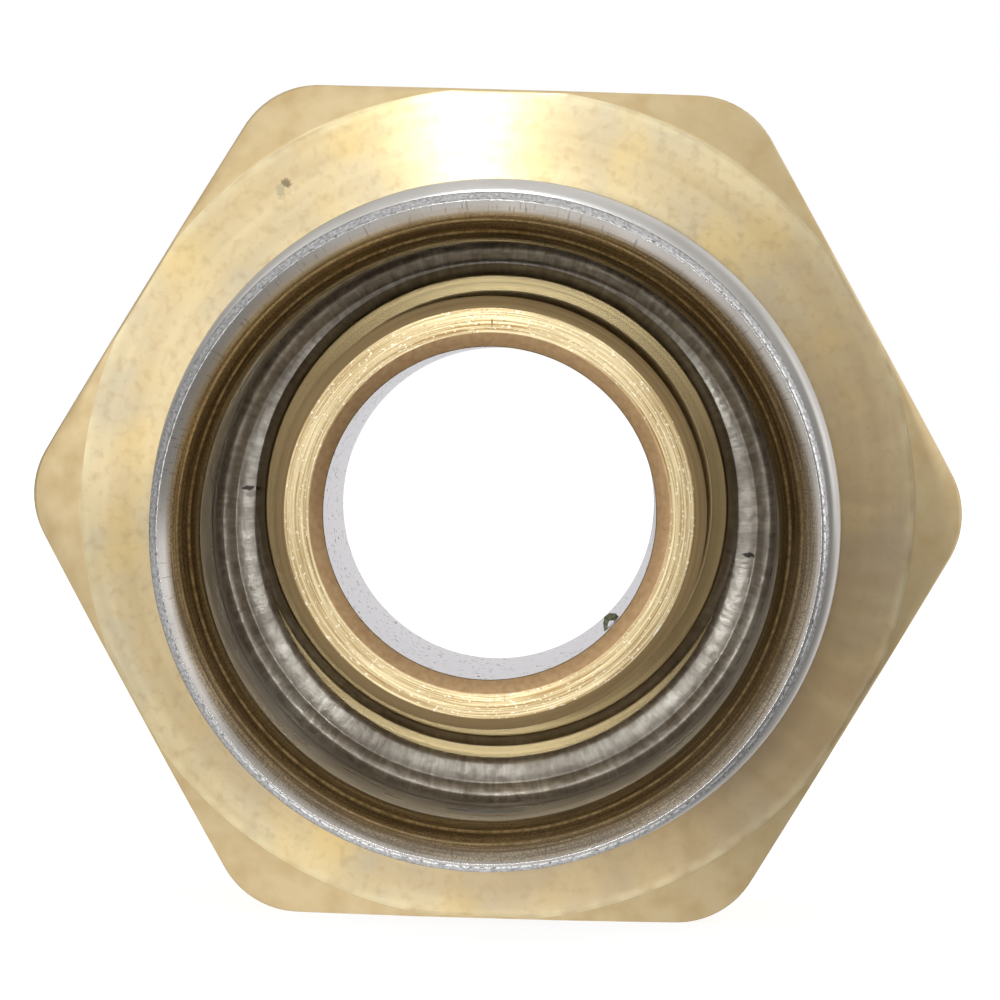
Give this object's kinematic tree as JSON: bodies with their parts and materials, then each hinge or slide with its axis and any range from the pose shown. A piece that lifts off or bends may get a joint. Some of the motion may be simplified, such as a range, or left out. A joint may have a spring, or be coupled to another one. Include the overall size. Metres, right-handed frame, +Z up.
{
  "type": "pex female adapter",
  "caption": "Brass hexagon adapter: ribbed tube insert inside a loose flared stainless press sleeve with inspection holes, and a tapered female pipe thread behind.",
  "frame": {"origin": "where the common axis meets the front face of the hexagon, which is also the centre of the overall box", "axes": "+Y along the axis towards the female thread, -Y towards the tube end, +Z up from the hexagon flat that the part lies on"},
  "size_m": [0.0286, 0.035, 0.0254],
  "materials": {
    "brass_turned": "bright turned, fine concentric tool marks",
    "stainless_sheet": "drawn sheet, smooth, rough cut edge at the mouth"
  },
  "bodies": {
    "fitting": {"body": "brass_turned"},
    "sleeve": {"press_sleeve": "stainless_sheet"}
  },
  "joints": [
    {"name": "sleeve_spin", "type": "hinge", "parent": "fitting", "child": "sleeve", "pos_m": [0, -0.009, -0.00054], "axis": [0, -1, 0], "continuous": true}
  ]
}
